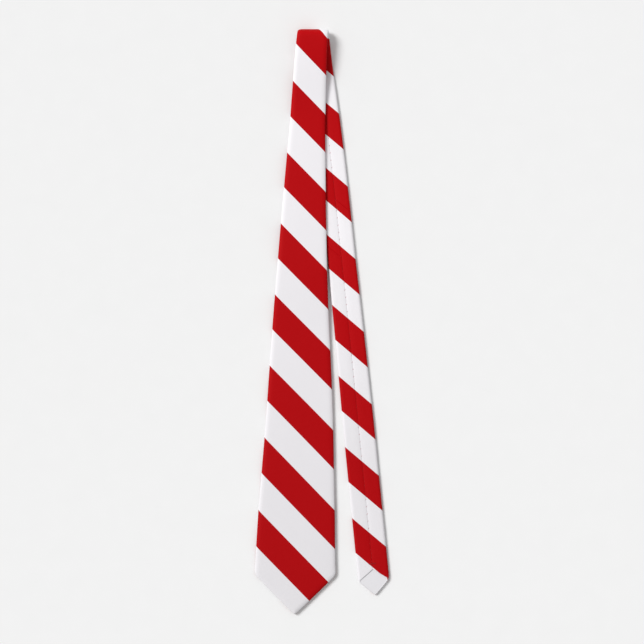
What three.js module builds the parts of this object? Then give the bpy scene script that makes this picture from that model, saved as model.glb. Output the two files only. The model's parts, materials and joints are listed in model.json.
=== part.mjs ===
// A striped necktie, folded once at the neck and laid face up with its narrow end beside the blade.
// Millimetres, +Z up, +Y toward the neck fold, origin on the table under the middle of the tie.
//
// Every piece is drawn on the flat strip first:
//   u  across the strip, w through it toward the printed face,
//   s  along it from the fold crest, front blade positive, tail negative.
// layPoint then steers it along the strip's centre line and rolls it over the neck fold.

import * as THREE from 'three';
import { mergeVertices } from 'three/addons/utils/BufferGeometryUtils.js';

// ---- Driving dimensions ----

const frontLength = 728; // fold crest to the front point
const tailLength = 708; // fold crest to the tail point
const frontWidth = 101.7; // at the front blade's corners
const frontShoulderWidth = 45;
const frontShoulderAt = 120;
const neckWidth = 34.5;
const neckFrom = -290;
const neckTo = -60;
const tailWidth = 38.6;
const tailShoulderAt = -500;
const pointHalfAngle = 45; // degrees each side of the point's middle
const pointBlunt = 2.5; // half width where each shell stops at its point

const tailHeadingTop = 7.7; // degrees off the Y axis, just behind the fold
const tailHeadingPoint = 5.5;
const frontHeadingTop = 2.9;
const frontHeadingPoint = 0.5;
const foldSteer = 50; // length on each side of the crest over which the heading turns

const shellCloth = 0.6;
const edgeRoll = 1.2; // cloth and turn of the rolled edge, seen from above
const edgeRadius = 1.6;
const hemLip = 0.8; // turned hem that holds the tipping round each point
const interliningThickness = 1.6;
const tippingThickness = 0.4;
const layerGap = 0.3;
const seamGap = 1.0; // between the two back flaps
const flapRise = 0.72; // height of the flaps' V over the corners, per half width

const foldHeight = 18; // outside of the rolled neck fold
const restGap = 0.4; // front blade over the tail
const frontLift = 1.2; // underside of the lower front blade over the table
const firstDrop = 100; // run over which the front comes down onto the tail
const sideGap = 1.5; // beside the tail, before the front blade may come down next to it
const secondDrop = 90;

const bendAt = 460; // hinge lines of front and tail, from the fold
const bodyGap = 0.5;
const panelGap = 1.1;
const frontSeamAt = -50; // diagonal piecing seams
const tailSeamAt = -250;
const seamSpread = 30;

const tippingRiseFront = 62; // tipping above the corners, under the flaps
const tippingRiseTail = 40;

const threadSize = 0.4;
const tackWidth = 8;
const tackLength = 1.6;
const tackThickness = 0.5;
const tackAboveFlaps = 7;

const keeperFromPoint = 226; // middle of the keeper loop, from the front point
const keeperWidth = 12;
const keeperSpan = 44;
const keeperTab = 7;
const backLayer = 0.8; // thickness of the keeper and its tacks
const labelFromPoint = 250;
const labelSpan = 50;
const labelWidth = 24;
const labelThickness = 0.5;
const labelEdge = 1.2;
const careFromPoint = 212; // upper end of the care label
const careSpan = 26;
const careLength = 34;
const careTab = 4;
const careOffset = -24; // to the left of the centre seam

const foldFacets = 5; // per quarter turn
const dropFacets = 5;
const cornerFacets = 2;
const centreStep = 8; // longest straight step of the centre line
const edgeStep = 5; // length between the places where the two blades' edges are compared
const leanRounds = 5; // rounds that settle where a leaning station line meets the tapering edge

// ---- Sizes that follow ----

const strip = shellCloth * 2 + layerGap * 3 + interliningThickness + tippingThickness;
const foldCentre = foldHeight / 2;
const foldRadius = foldCentre - strip / 2; // of the strip's middle
const quarterTurn = foldRadius * Math.PI / 2;
const pointSlope = Math.tan(THREE.MathUtils.degToRad(pointHalfAngle));
const frontCorner = frontLength - frontWidth / 2 / pointSlope;
const tailCorner = -(tailLength - tailWidth / 2 / pointSlope);
const frontEnd = frontLength - pointBlunt / pointSlope;
const tailEnd = -(tailLength - pointBlunt / pointSlope);
const frontFlapV = frontCorner - frontWidth / 2 * flapRise;
const tailFlapV = tailCorner + tailWidth / 2 * flapRise;
const face = strip / 2;
const interliningTop = face - shellCloth - layerGap;
const interliningBottom = interliningTop - interliningThickness;
const tippingTop = interliningBottom - layerGap;
const tippingBottom = tippingTop - tippingThickness;
const overTail = strip + restGap + strip / 2;
const onTable = frontLift + strip / 2;
const keeperAt = frontLength - keeperFromPoint;
const labelAt = frontLength - labelFromPoint;
const careAt = frontLength - careFromPoint;

// ---- The flat strip ----

const widthKnots = [
  [tailCorner, tailWidth], [tailShoulderAt, tailWidth], [neckFrom, neckWidth],
  [neckTo, neckWidth], [frontShoulderAt, frontShoulderWidth], [frontCorner, frontWidth],
];

function bodyWidthAt(s) {
  if (s <= widthKnots[0][0]) return widthKnots[0][1];
  for (let i = 1; i < widthKnots.length; i += 1) {
    const [from, widthFrom] = widthKnots[i - 1];
    const [to, widthTo] = widthKnots[i];
    if (s <= to) return THREE.MathUtils.mapLinear(s, from, to, widthFrom, widthTo);
  }
  return widthKnots[widthKnots.length - 1][1];
}

// Half width at s: the tapering strip, cut to a point at both ends.
function halfWidthAt(s) {
  const toFrontPoint = (frontLength - s) * pointSlope;
  const toTailPoint = (tailLength + s) * pointSlope;
  return Math.max(pointBlunt, Math.min(bodyWidthAt(s) / 2, toFrontPoint, toTailPoint));
}

// Half of the space between the back flaps: a closed seam that opens into a V over each point.
function flapGapAt(s) {
  const intoFront = (s - frontFlapV) / flapRise;
  const intoTail = (tailFlapV - s) / flapRise;
  const open = seamGap / 2 + Math.max(0, intoFront, intoTail);
  return Math.min(open, halfWidthAt(s) - edgeRoll - hemLip);
}

function headingAt(s) {
  const down = THREE.MathUtils.clamp(s / frontLength, 0, 1);
  const front = THREE.MathUtils.lerp(frontHeadingTop, frontHeadingPoint, down);
  const along = THREE.MathUtils.clamp(-s / tailLength, 0, 1);
  const tail = THREE.MathUtils.lerp(tailHeadingTop, tailHeadingPoint, along);
  const across = THREE.MathUtils.smoothstep(s, -foldSteer, foldSteer);
  return THREE.MathUtils.degToRad(THREE.MathUtils.lerp(tail, front, across));
}

// Point of the centre line at s, on the strip rolled out flat: x across, t down the front.
function centreAt(s) {
  const steps = Math.max(1, Math.ceil(Math.abs(s) / centreStep));
  const step = s / steps;
  let x = 0;
  let t = 0;
  for (let i = 0; i < steps; i += 1) {
    const heading = headingAt((i + 0.5) * step);
    x -= Math.sin(heading) * step;
    t += Math.cos(heading) * step;
  }
  return { x, t };
}

// Last place, from the fold, where the front blade's edge is still over the tail or close beside it.
function lastOverTail() {
  let last = 0;
  for (let s = 0; s < Math.min(frontLength, tailLength); s += edgeStep) {
    const frontEdge = centreAt(s).x + halfWidthAt(s);
    const tailEdge = centreAt(-s).x - halfWidthAt(-s);
    if (frontEdge + sideGap > tailEdge) last = s;
  }
  return last;
}

const leaveTail = lastOverTail() + edgeStep - quarterTurn;

// Height of the front blade's middle, run measured from the end of the fold's quarter turn.
function frontHeight(run) {
  const firstPart = THREE.MathUtils.smoothstep(run, 0, firstDrop);
  const secondPart = THREE.MathUtils.smoothstep(run, leaveTail, leaveTail + secondDrop);
  const onTail = THREE.MathUtils.lerp(foldCentre + foldRadius, overTail, firstPart);
  return THREE.MathUtils.lerp(onTail, onTable, secondPart * firstPart);
}

// Rolls t and w over the neck fold, whose axis lies along X at y = 0.
function rollOverFold(t, w) {
  if (Math.abs(t) <= quarterTurn) {
    const turn = t / foldRadius;
    const radius = foldRadius + w;
    return { y: Math.cos(turn) * radius, z: foldCentre + Math.sin(turn) * radius };
  }
  if (t < 0) return { y: t + quarterTurn, z: foldCentre - foldRadius - w };
  const run = t - quarterTurn;
  return { y: -run, z: frontHeight(run) + w };
}

function layPoint(u, w, s) {
  const centre = centreAt(s);
  const heading = headingAt(s);
  const t = centre.t + u * Math.sin(heading);
  const { y, z } = rollOverFold(t, w);
  return new THREE.Vector3(centre.x + u * Math.cos(heading), y, z);
}

// How far a station line leans: level with the fold, slanted along the piecing seams, square at the points.
function leanAt(s) {
  const slant = (seamAt) => (seamSpread - Math.abs(s - seamAt)) / (seamSpread - panelGap);
  const ontoSeam = THREE.MathUtils.clamp(Math.max(slant(frontSeamAt), slant(tailSeamAt)), 0, 1);
  const toPoint = Math.min(frontFlapV - s, s - tailFlapV);
  const level = -Math.tan(headingAt(s)) * THREE.MathUtils.clamp(toPoint / seamSpread, 0, 1);
  return THREE.MathUtils.lerp(level, 1, ontoSeam);
}

// Stations that a piece needs between two ends: where the strip bends, tapers or is cut.
function stationsBetween(from, to) {
  const breaks = [
    tailCorner, tailFlapV, tailShoulderAt, neckFrom, neckTo, frontShoulderAt, frontFlapV, frontCorner,
    tailFlapV + seamSpread, frontFlapV - seamSpread,
    tailSeamAt - seamSpread, tailSeamAt + seamSpread, frontSeamAt - seamSpread, frontSeamAt + seamSpread,
  ];
  for (let i = -foldFacets; i <= foldFacets; i += 1) breaks.push(i * quarterTurn / foldFacets);
  for (let i = 1; i <= dropFacets; i += 1) {
    breaks.push(quarterTurn + firstDrop * i / dropFacets);
    breaks.push(quarterTurn + leaveTail + secondDrop * (i - 1) / (dropFacets - 1));
  }
  const clear = 0.8;
  const inside = breaks.sort((a, b) => a - b).filter((s) => s > from + clear && s < to - clear);
  const kept = inside.filter((s, i) => i === 0 || s - inside[i - 1] > clear);
  return [from, ...kept, to];
}

// ---- Solids ----

// Merges a geometry's vertices and moves each one by place(vector).
function placed(geometry, place) {
  geometry.deleteAttribute('normal');
  geometry.deleteAttribute('uv');
  const merged = mergeVertices(geometry, 1e-4);
  const position = merged.attributes.position;
  const vector = new THREE.Vector3();
  for (let i = 0; i < position.count; i += 1) {
    vector.fromBufferAttribute(position, i);
    const moved = place(vector);
    position.setXYZ(i, moved.x, moved.y, moved.z);
  }
  merged.computeVertexNormals();
  return merged;
}

// Sweeps a section along the strip. Its x runs from -1 to 1 times sectionHalf, its y is w.
function alongStrip(section, from, to, toU) {
  const stations = stationsBetween(from, to);
  const steps = stations.length - 1;
  const settings = { depth: steps, steps, bevelEnabled: false, curveSegments: cornerFacets };
  const geometry = new THREE.ExtrudeGeometry(section, settings);
  return placed(geometry, (point) => {
    const station = stations[Math.round(point.z)];
    let s = station;
    for (let i = 0; i < leanRounds; i += 1) s = station + toU(point.x, s) * leanAt(station);
    return layPoint(toU(point.x, s), point.y, s);
  });
}

const sectionHalf = 20;

// The folded cloth in section: printed face, rolled edges and two flaps that meet at the back.
function shellSection() {
  const half = sectionHalf;
  const inner = half - edgeRoll;
  const mouth = seamGap / 2;
  const arc = half - edgeRadius;
  const shape = new THREE.Shape();
  shape.moveTo(mouth, -face);
  shape.lineTo(arc, -face);
  shape.absarc(arc, -face + edgeRadius, edgeRadius, -Math.PI / 2, 0, false);
  shape.absarc(arc, face - edgeRadius, edgeRadius, 0, Math.PI / 2, false);
  shape.absarc(-arc, face - edgeRadius, edgeRadius, Math.PI / 2, Math.PI, false);
  shape.absarc(-arc, -face + edgeRadius, edgeRadius, Math.PI, Math.PI * 1.5, false);
  shape.lineTo(-mouth, -face);
  shape.lineTo(-mouth, -face + shellCloth);
  shape.lineTo(-inner, -face + shellCloth);
  shape.lineTo(-inner, face - shellCloth);
  shape.lineTo(inner, face - shellCloth);
  shape.lineTo(inner, -face + shellCloth);
  shape.lineTo(mouth, -face + shellCloth);
  shape.closePath();
  return shape;
}

// Keeps edges at their own distance from the strip's side, and the flaps' lips at the back opening.
function shellU(x, s) {
  const distance = Math.abs(x);
  const mouth = seamGap / 2;
  const onLip = distance < mouth * 1.01;
  return Math.sign(x) * (onLip ? flapGapAt(s) : halfWidthAt(s) - (sectionHalf - distance));
}

function shell(from, to) {
  return alongStrip(shellSection(), from, to, shellU);
}

function rectangle(left, right, bottom, top) {
  const shape = new THREE.Shape();
  shape.moveTo(left, bottom);
  shape.lineTo(right, bottom);
  shape.lineTo(right, top);
  shape.lineTo(left, top);
  shape.closePath();
  return shape;
}

// A layer that fills the shell's inside from edge to edge.
function lining(from, to, bottom, top) {
  const fill = (x, s) => x * (halfWidthAt(s) - edgeRoll - layerGap);
  return alongStrip(rectangle(-1, 1, bottom, top), from, to, fill);
}

// The long slip stitch that lies in the back seam, between the flaps.
function seamThread(from, to) {
  const half = threadSize / 2;
  const bottom = -face + (shellCloth - threadSize) / 2;
  const width = (x) => x;
  return alongStrip(rectangle(-half, half, bottom, bottom + threadSize), from, to, width);
}

// Thread of a slanted piecing seam, in the gap between two panels' faces.
function piecingThread(at) {
  const half = halfWidthAt(at) - edgeRadius;
  const geometry = new THREE.BoxGeometry(half * 2, threadSize, threadSize);
  const w = face - shellCloth / 2;
  return placed(geometry, (point) => {
    const s = at + point.z + point.x * leanAt(at);
    return layPoint(point.x, w + point.y, s);
  });
}

// A small flat piece on the back of the strip, its upper side one gap off the flaps.
function onBack(uFrom, uTo, sFrom, sTo, thickness) {
  const geometry = new THREE.BoxGeometry(uTo - uFrom, thickness, sTo - sFrom);
  const u = (uFrom + uTo) / 2;
  const w = -face - layerGap - thickness / 2;
  const s = (sFrom + sTo) / 2;
  return placed(geometry, (point) => layPoint(u + point.x, w + point.y, s + point.z));
}

function backTack(s) {
  return onBack(-tackWidth / 2, tackWidth / 2, s - tackLength / 2, s + tackLength / 2, tackThickness);
}

// ---- Assembly ----

const printedCloth = { color: 0xb30d10, roughness: 0.55, metalness: 0 };
const canvas = { color: 0xe9e4d8, roughness: 0.95, metalness: 0 };
const liningCloth = { color: 0xdfdfe3, roughness: 0.5, metalness: 0 };
const redThread = { color: 0x9c1013, roughness: 0.6, metalness: 0 };
const whiteLabel = { color: 0xf1f1ee, roughness: 0.6, metalness: 0 };

const tie = new THREE.Group();

function add(name, geometry, material) {
  const mesh = new THREE.Mesh(geometry, new THREE.MeshStandardMaterial(material));
  mesh.name = name;
  tie.add(mesh);
}

const cut = bodyGap / 2;
const seam = panelGap / 2;

// Printed shell: front panel, neck panel and tail panel, each stopped at the lines the tie bends along.
add('front_panel_lower', shell(bendAt + cut, frontEnd), printedCloth);
add('front_panel_upper', shell(cut, bendAt - cut), printedCloth);
add('front_panel_end', shell(frontSeamAt + seam, -cut), printedCloth);
add('neck_panel', shell(tailSeamAt + seam, frontSeamAt - seam), printedCloth);
add('tail_panel_upper', shell(-bendAt + cut, tailSeamAt - seam), printedCloth);
add('tail_panel_lower', shell(tailEnd, -bendAt - cut), printedCloth);

// Interlining, which gives the tie its body, and the tipping that covers it at the points.
const interlining = (from, to) => lining(from, to, interliningBottom, interliningTop);
const tipping = (from, to) => lining(from, to, tippingBottom, tippingTop);
add('interlining_front_lower', interlining(bendAt + cut, frontEnd), canvas);
add('interlining_front_upper', interlining(cut, bendAt - cut), canvas);
add('interlining_tail_upper', interlining(-bendAt + cut, -cut), canvas);
add('interlining_tail_lower', interlining(tailEnd, -bendAt - cut), canvas);
add('front_tipping', tipping(frontCorner - tippingRiseFront, frontEnd), liningCloth);
add('tail_tipping', tipping(tailEnd, tailCorner + tippingRiseTail), liningCloth);

// Stitching: slip stitches along the back, a bar tack over each V, and the two piecing seams.
add('slip_stitch_front_lower', seamThread(bendAt + cut, frontFlapV), redThread);
add('slip_stitch_front_upper', seamThread(cut, bendAt - cut), redThread);
add('slip_stitch_tail_upper', seamThread(-bendAt + cut, -cut), redThread);
add('slip_stitch_tail_lower', seamThread(tailFlapV, -bendAt - cut), redThread);
add('bar_tack_front', backTack(frontFlapV - tackAboveFlaps), redThread);
add('bar_tack_tail', backTack(tailFlapV + tackAboveFlaps), redThread);
add('piecing_seam_front', piecingThread(frontSeamAt), redThread);
add('piecing_seam_tail', piecingThread(tailSeamAt), redThread);

// Keeper loop on the back of the front blade: a band with slack between two sewn tabs.
const keeperFrom = keeperAt - keeperWidth / 2;
const keeperTo = keeperAt + keeperWidth / 2;
const tabFrom = keeperSpan / 2 + layerGap;
const tabTo = tabFrom + keeperTab;
const tackFrom = tabTo + layerGap;
const tackTo = tackFrom + tackLength;
const keeperPiece = (uFrom, uTo) => onBack(uFrom, uTo, keeperFrom, keeperTo, backLayer);
add('keeper_loop_band', keeperPiece(-keeperSpan / 2, keeperSpan / 2), printedCloth);
add('keeper_loop_tab_left', keeperPiece(-tabTo, -tabFrom), printedCloth);
add('keeper_loop_tab_right', keeperPiece(tabFrom, tabTo), printedCloth);
add('keeper_tack_left', keeperPiece(-tackTo, -tackFrom), redThread);
add('keeper_tack_right', keeperPiece(tackFrom, tackTo), redThread);

// Blank label above the keeper, sewn down along its two short sides.
const labelFrom = labelAt - labelWidth / 2;
const labelTo = labelAt + labelWidth / 2;
const labelHalf = labelSpan / 2;
const sewnAt = labelHalf + layerGap;
const labelPiece = (uFrom, uTo) => onBack(uFrom, uTo, labelFrom, labelTo, labelThickness);
add('back_label', labelPiece(-labelHalf, labelHalf), whiteLabel);
add('label_stitch_left', labelPiece(-sewnAt - labelEdge, -sewnAt), redThread);
add('label_stitch_right', labelPiece(sewnAt, sewnAt + labelEdge), redThread);

// Care label, sewn by its upper end and free to lift.
const careLeft = careOffset - careSpan / 2;
const careRight = careOffset + careSpan / 2;
const careHinge = careAt + careTab;
const carePiece = (sFrom, sTo) => onBack(careLeft, careRight, sFrom, sTo, labelThickness);
add('care_label_tab', carePiece(careAt, careHinge), whiteLabel);
add('care_label_flap', carePiece(careHinge + layerGap, careHinge + careLength), whiteLabel);

// Centres the tie over the origin and sets it down on z = 0.
const box = new THREE.Box3().setFromObject(tie);
const middle = box.getCenter(new THREE.Vector3());
tie.position.set(-middle.x, -middle.y, -box.min.z);

export default tie;
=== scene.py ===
import json
import math

import bmesh
import bpy
import numpy as np
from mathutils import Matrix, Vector


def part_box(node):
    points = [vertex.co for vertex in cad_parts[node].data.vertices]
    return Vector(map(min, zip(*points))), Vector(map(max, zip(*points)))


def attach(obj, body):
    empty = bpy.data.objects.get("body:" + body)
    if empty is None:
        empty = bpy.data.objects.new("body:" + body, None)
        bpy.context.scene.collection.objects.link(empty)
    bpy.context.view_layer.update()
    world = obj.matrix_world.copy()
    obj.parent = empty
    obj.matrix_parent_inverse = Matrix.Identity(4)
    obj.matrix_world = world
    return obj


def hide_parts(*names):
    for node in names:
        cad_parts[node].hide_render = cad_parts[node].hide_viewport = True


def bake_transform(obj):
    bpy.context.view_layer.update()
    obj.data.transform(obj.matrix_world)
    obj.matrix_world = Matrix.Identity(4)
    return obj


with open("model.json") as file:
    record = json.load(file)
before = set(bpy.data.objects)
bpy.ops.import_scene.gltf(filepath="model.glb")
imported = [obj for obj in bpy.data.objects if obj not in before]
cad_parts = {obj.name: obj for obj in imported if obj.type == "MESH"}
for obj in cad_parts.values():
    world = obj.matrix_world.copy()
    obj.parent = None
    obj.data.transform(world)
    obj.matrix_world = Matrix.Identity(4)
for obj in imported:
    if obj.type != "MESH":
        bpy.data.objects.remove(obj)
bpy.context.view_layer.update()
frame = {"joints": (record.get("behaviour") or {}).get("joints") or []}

scene = bpy.context.scene
mm = 0.001
joints = {joint["name"]: Vector(joint["pos_m"]) for joint in frame["joints"] if "pos_m" in joint}

# The tie is worked out on the flat strip, in millimetres: u across, w toward the printed face,
# s along it from the neck fold, front blade positive and tail negative.
strip = {
    "frontLength": 728.0,
    "tailLength": 708.0,
    "frontWidth": 101.7,
    "shoulderAt": 120.0,
    "shoulderWidth": 43.9,
    "frontEase": 1.4,
    "bellyAt": (290.0, 440.0, 600.0),
    "bellyWidth": (61.0, 78.6, 94.8),
    "neckFrom": -290.0,
    "neckTo": -60.0,
    "neckWidth": 34.5,
    "tailShoulderAt": -500.0,
    "tailWidth": 38.6,
    "tailHeading": (7.7, 5.5),
    "frontHeading": (2.9, 0.5),
    "foldSteer": 50.0,
    "frontSeamAt": -50.0,
    "tailSeamAt": -250.0,
    "seamSpread": 60.0,
    "flapRise": 0.72,
    "cornerSoft": 4.0,
    "frontTip": 1.9,
    "tailTip": 1.6,
}
stack = {
    "half": 2.05,
    "foldHeight": 18.0,
    "overTail": 6.55,
    "onTable": 3.25,
    "firstDrop": 100.0,
    "secondDrop": 90.0,
    "sideGap": 1.5,
    "ripple": 0.22,
}

frontCorner = strip["frontLength"] - strip["frontWidth"] / 2
tailCorner = strip["tailWidth"] / 2 - strip["tailLength"]
frontFlapV = frontCorner - strip["frontWidth"] / 2 * strip["flapRise"]
tailFlapV = tailCorner + strip["tailWidth"] / 2 * strip["flapRise"]
foldCentre = stack["foldHeight"] / 2
foldRadius = foldCentre - stack["half"]
quarterTurn = foldRadius * math.pi / 2


def smooth(x, low, high):
    t = np.clip((x - low) / (high - low), 0, 1)
    return t * t * (3 - 2 * t)


def bodyWidthAt(s):
    at = (tailCorner, strip["tailShoulderAt"], strip["neckFrom"], strip["neckTo"],
          strip["shoulderAt"], *strip["bellyAt"], frontCorner)
    wide = (strip["tailWidth"], strip["tailWidth"], strip["neckWidth"], strip["neckWidth"],
            strip["shoulderWidth"], *strip["bellyWidth"], strip["frontWidth"] - strip["frontEase"])
    return np.interp(s, at, wide)


def halfWidthAt(s):
    toFront = np.maximum(strip["frontLength"] - s, strip["frontTip"])
    toTail = np.maximum(strip["tailLength"] + s, strip["tailTip"])
    point = np.minimum(np.sqrt(np.maximum(toFront**2 - strip["frontTip"]**2, 0)),
                       np.sqrt(np.maximum(toTail**2 - strip["tailTip"]**2, 0)))
    body = bodyWidthAt(s) / 2
    near = np.maximum(strip["cornerSoft"] - np.abs(body - point), 0) / strip["cornerSoft"]
    return np.maximum(np.minimum(body, point) - near**2 * strip["cornerSoft"] / 4, 0)


def headingAt(s):
    down = np.clip(s / strip["frontLength"], 0, 1)
    back = np.clip(-s / strip["tailLength"], 0, 1)
    front = strip["frontHeading"][0] + down * (strip["frontHeading"][1] - strip["frontHeading"][0])
    tail = strip["tailHeading"][0] + back * (strip["tailHeading"][1] - strip["tailHeading"][0])
    across = smooth(s, -strip["foldSteer"], strip["foldSteer"])
    return np.radians(tail + (front - tail) * across)


lineAt = np.arange(-760.0, 761.0)
lineHeading = headingAt(lineAt[:-1] + 0.5)
lineX = np.concatenate([[0], np.cumsum(-np.sin(lineHeading))])
lineT = np.concatenate([[0], np.cumsum(np.cos(lineHeading))])
lineX -= np.interp(0, lineAt, lineX)
lineT -= np.interp(0, lineAt, lineT)

# The laid tie bows a little to one side near the neck and again well down the front blade, and
# its tail drifts back.
lie = {
    "tailBowAt": -130.0,
    "frontBowAt": 480.0,
    "bowLength": 120.0,
    "bow": 2.2,
    "tailDrift": -3.0,
    "driftFrom": -230.0,
    "driftTo": -620.0,
}


def asideAt(s):
    places = (lie["tailBowAt"], lie["frontBowAt"])
    bowed = sum(np.exp(-((s - place) / lie["bowLength"]) ** 2) for place in places)
    return lie["bow"] * bowed + lie["tailDrift"] * smooth(s, lie["driftFrom"], lie["driftTo"])


def lastOverTail():
    at = np.arange(0.0, strip["tailLength"], 5.0)
    frontEdge = np.interp(at, lineAt, lineX) + bodyWidthAt(at) / 2
    tailEdge = np.interp(-at, lineAt, lineX) - bodyWidthAt(-at) / 2
    return at[frontEdge + stack["sideGap"] > tailEdge].max()


leaveTail = lastOverTail() + 5 - quarterTurn


def frontHeight(run):
    first = smooth(run, 0, stack["firstDrop"])
    second = smooth(run, leaveTail, leaveTail + stack["secondDrop"])
    top = foldCentre + foldRadius
    onTail = top + (stack["overTail"] - top) * first
    return onTail + (stack["onTable"] - onTail) * second * first


def rollOverFold(t, w):
    turn = np.clip(t, -quarterTurn, quarterTurn) / foldRadius
    y = np.cos(turn) * (foldRadius + w)
    z = foldCentre + np.sin(turn) * (foldRadius + w)
    run = np.maximum(t - quarterTurn, 0)
    y = np.where(t < -quarterTurn, t + quarterTurn, np.where(run > 0, -run, y))
    z = np.where(run > 0, frontHeight(run) + w, z)
    return y, z


def onStrip(u, w, s, sway=1.0):
    heading = headingAt(s)
    x = np.interp(s, lineAt, lineX) + u * np.cos(heading) + asideAt(s) * sway
    t = np.interp(s, lineAt, lineT) + u * np.sin(heading)
    y, z = rollOverFold(t, w)
    return x, y, z


# The strip is set down where the frame has it: leftmost corner and crest of the fold.
leftCorner = onStrip(-strip["frontWidth"] / 2, 0.0, frontCorner, sway=0.0)
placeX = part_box("front_panel_lower")[0].x / mm - float(leftCorner[0])
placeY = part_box("front_panel_upper")[1].y / mm - foldCentre


def layPoint(u, w, s):
    x, y, z = onStrip(np.asarray(u, float), np.asarray(w, float), np.asarray(s, float))
    x, y = x + placeX, y + placeY
    ripple = 1 + 0.7 * np.sin(x / 41 + 1.3) * np.sin(y / 57 + 0.6) + 0.3 * np.sin(y / 19 + x / 33)
    lifted = z + stack["ripple"] * ripple * smooth(strip["frontLength"] / 2 - y, 0, 60)
    return np.stack([x, y, lifted], axis=-1) * mm


shell = {
    "cloth": 0.25,
    "faceRoll": 6.0,
    "backRoll": 3.4,
    "crown": 0.3,
    "valley": 0.45,
    "valleyWidth": 3.6,
    "seamGap": 0.02,
    "lip": 1.5,
    "turn": 0.27,
    "hem": 6.0,
    "faceColumns": 8,
    "rollColumns": 8,
    "flapColumns": 7,
    "turnColumns": 6,
    "fineBetween": (-48.0, 44.0),
    "bendAt": 458.0,
    "bendReach": 30.0,
    "bendStep": 1.3,
    "rowStep": 4.0,
    "fineStep": 1.1,
    "pointStep": 2.0,
    "tipReach": 14.0,
    "tipRows": 13,
    "seamSink": 0.22,
    "seamRound": 1.4,
}


def squareness(s):
    slope = (halfWidthAt(s + 0.05) - halfWidthAt(s - 0.05)) / 0.1
    return 1 / np.sqrt(1 + slope**2)


def flapGapAt(s):
    half = halfWidthAt(s)
    rise = np.maximum(s - frontFlapV, tailFlapV - s) / strip["flapRise"]
    opened = shell["seamGap"] + np.maximum(rise, 0)
    return np.minimum(opened, half - np.minimum(shell["lip"], 0.8 * half))


# How the print lies on the made-up tie: a bias-cut cloth leans and stretches a little along its length.
printLie = {
    "stretch": 3.4e-5,
    "frontLean": (0.922, 1.002),
    "tailLean": (1.10, 1.02),
    "seamAtBlade": 46.0,
    "seamAtNeck": 52.2,
    "seamAtTail": 45.98,
}


def leanAt(s):
    front = np.interp(s, (0, strip["frontLength"]), printLie["frontLean"])
    tail = np.interp(-s, (0, strip["tailLength"]), printLie["tailLean"])
    lean = tail + (front - tail) * smooth(s, strip["frontSeamAt"], -20)
    return lean * (1 - 2 * printLie["stretch"] * s)


# Print distance from the middle of the face to the seam at the back, at which the bands of both flaps meet.
def seamPrintAt(s, fromFront):
    neck = printLie["seamAtNeck"] if fromFront else printLie["seamAtTail"]
    return neck + (printLie["seamAtBlade"] - neck) * smooth(s, 0, 60)


# Right half of the folded cloth in section, from the middle of the face round to the hem's end.
def halfSection(s, fromFront):
    half = halfWidthAt(s)[:, None]
    square = np.maximum(squareness(s), 0.02)[:, None]
    gap = flapGapAt(s)[:, None]
    high = stack["half"]

    roll = shell["faceRoll"] / square
    turned = np.arccos(np.clip(1 - half / roll, 0, 1))
    inner = half - roll * (1 - np.cos(turned))
    across = np.linspace(0, 1, shell["faceColumns"])[None, :-1]
    angle = turned * np.linspace(1, 0, shell["rollColumns"])[None, :]
    uFace = np.concatenate([inner * across, half - roll * (1 - np.cos(angle))], axis=1)
    domed = np.clip(1 - (uFace / np.maximum(half, 0.01))**2, 0, 1)
    crown = shell["crown"] * smooth(s, 0, 40)[:, None] * domed
    lift = np.concatenate([np.sin(turned) + 0 * across, np.sin(angle)], axis=1)
    wFace = (high + crown) * lift

    room = half - gap
    bend = np.minimum(shell["turn"], 0.25 * room)
    roll = shell["backRoll"] / square
    turned = np.arccos(np.clip(1 - (room - bend) / roll, 0, 1))
    inner = half - roll * (1 - np.cos(turned))
    angle = turned * np.linspace(0, 1, shell["rollColumns"])[None, 1:]
    across = np.linspace(0, 1, shell["flapColumns"])[None, 1:]
    uBack = np.concatenate([half - roll * (1 - np.cos(angle)),
                            inner + (gap + bend - inner) * across], axis=1)
    wBack = -high * np.concatenate([np.sin(angle), np.sin(turned) + 0 * across], axis=1)
    closed = smooth(frontFlapV - s, 0, 30) * smooth(s - tailFlapV, 0, 30)
    wBack += shell["valley"] * closed[:, None] * np.exp(-((uBack - gap) / shell["valleyWidth"])**2)

    angle = np.linspace(0, math.pi, shell["turnColumns"])[None, 1:]
    lipW = wBack[:, -1:]
    uTurn = gap + bend - bend * np.sin(angle)
    wTurn = lipW + bend * (1 - np.cos(angle))
    hem = np.minimum(shell["hem"], 0.5 * room) * np.array([[0.5, 1.0]])
    u = np.concatenate([uFace, uBack, uTurn, gap + bend + hem], axis=1)
    w = np.concatenate([wFace, wBack, wTurn, wTurn[:, -1:] + 0 * hem], axis=1)

    arc = np.hypot(np.diff(u, axis=1), np.diff(w, axis=1))
    v = np.concatenate([0 * half, np.cumsum(arc, axis=1)], axis=1)
    lean = leanAt(s)[:, None]
    edge = shell["faceColumns"] + shell["rollColumns"] - 2
    lip = edge + shell["rollColumns"] + shell["flapColumns"] - 2
    column = np.arange(u.shape[1])[None, :]
    pastLip = np.where(column > lip, v - v[:, lip:lip + 1] + u[:, lip:lip + 1], u)
    fromSeam = np.where(column > lip, 2 * u[:, lip:lip + 1] - pastLip, u)
    onFlap = seamPrintAt(s, fromFront)[:, None] - lean * fromSeam
    # The easing round the edge lies on whichever side is turned down.
    fromEdge = column - edge + (shell["rollColumns"] - 1) * (1 - smooth(s, -14, 0))[:, None]
    printed = lean * v + (onFlap - lean * v) * smooth(fromEdge, 0, shell["rollColumns"] - 1)
    # Edge weight for a lightening of the colour near the rolled edges: partly rub, partly painted sheen.
    rubSheen = np.exp(-((half - u) / 2.2)**2)
    return u, w, v, printed, rubSheen


def section(s, fromFront):
    right = halfSection(s, fromFront)
    signs = (-1, 1, -1, -1, 1)
    return [np.concatenate([sign * part[:, :0:-1], part], axis=1) for sign, part in zip(signs, right)]


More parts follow.
